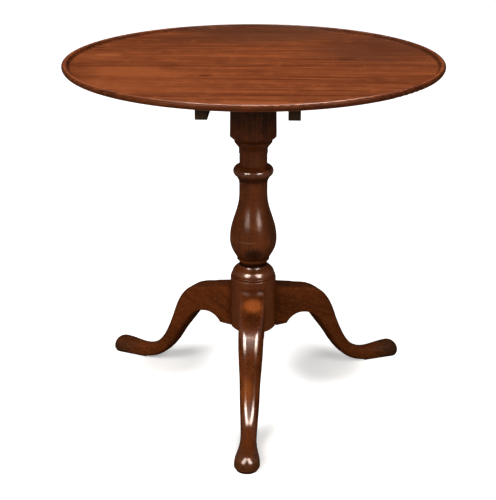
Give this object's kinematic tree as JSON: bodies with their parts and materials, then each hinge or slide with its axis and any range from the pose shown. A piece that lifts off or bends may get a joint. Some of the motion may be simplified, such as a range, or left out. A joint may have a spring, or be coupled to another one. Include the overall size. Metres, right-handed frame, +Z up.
{
  "type": "tilt top table",
  "caption": "Round dished tilt top table on a turned vase column with three cabriole legs and pad feet; the top tips upright on a pivot block and locks level with a spring catch.",
  "frame": {"origin": "on the floor under the column's axis, at the centre of the feet's and the top's footprint", "axes": "+Z up, -Y towards the front leg, +X to the right seen from the front; the top tips about an axis along X"},
  "size_m": [0.7439, 0.744, 0.711],
  "materials": {
    "mahogany_top": "polished, aged red-brown mahogany board",
    "mahogany": "polished, dark red-brown mahogany",
    "secondary_wood": "plain stained hardwood, waxed",
    "wrought_iron": "dark wrought iron",
    "spring_steel": "spring steel",
    "brass": "dull aged brass"
  },
  "bodies": {
    "pedestal": {"column": "mahogany", "leg_front": "mahogany", "leg_right": "mahogany", "leg_left": "mahogany", "pivot_block": "secondary_wood", "tenon_wedges": "secondary_wood", "tripod_plate": "wrought_iron", "tripod_plate_screws": "wrought_iron", "strike_plate": "brass", "strike_screws": "brass"},
    "top": {"top_board": "mahogany_top", "bearer_left": "secondary_wood", "bearer_right": "secondary_wood", "bearer_screws_left": "wrought_iron", "bearer_screws_right": "wrought_iron", "catch_plate": "brass", "catch_case": "brass", "catch_spring": "spring_steel", "catch_screws": "brass"},
    "catch": {"catch_bolt": "wrought_iron", "catch_knob": "brass"}
  },
  "joints": [
    {"name": "tilt", "type": "hinge", "parent": "pedestal", "child": "top", "pos_m": [0, 0.052, 0.675], "axis": [-1, 0, 0], "range_deg": [0, 90]},
    {"name": "catch_slide", "type": "slide", "parent": "top", "child": "catch", "axis": [0, -1, 0], "range_m": [0, 0.008], "stiffness_N_per_m": 400, "springref_m": -0.008, "deforming": ["catch_spring"]}
  ]
}
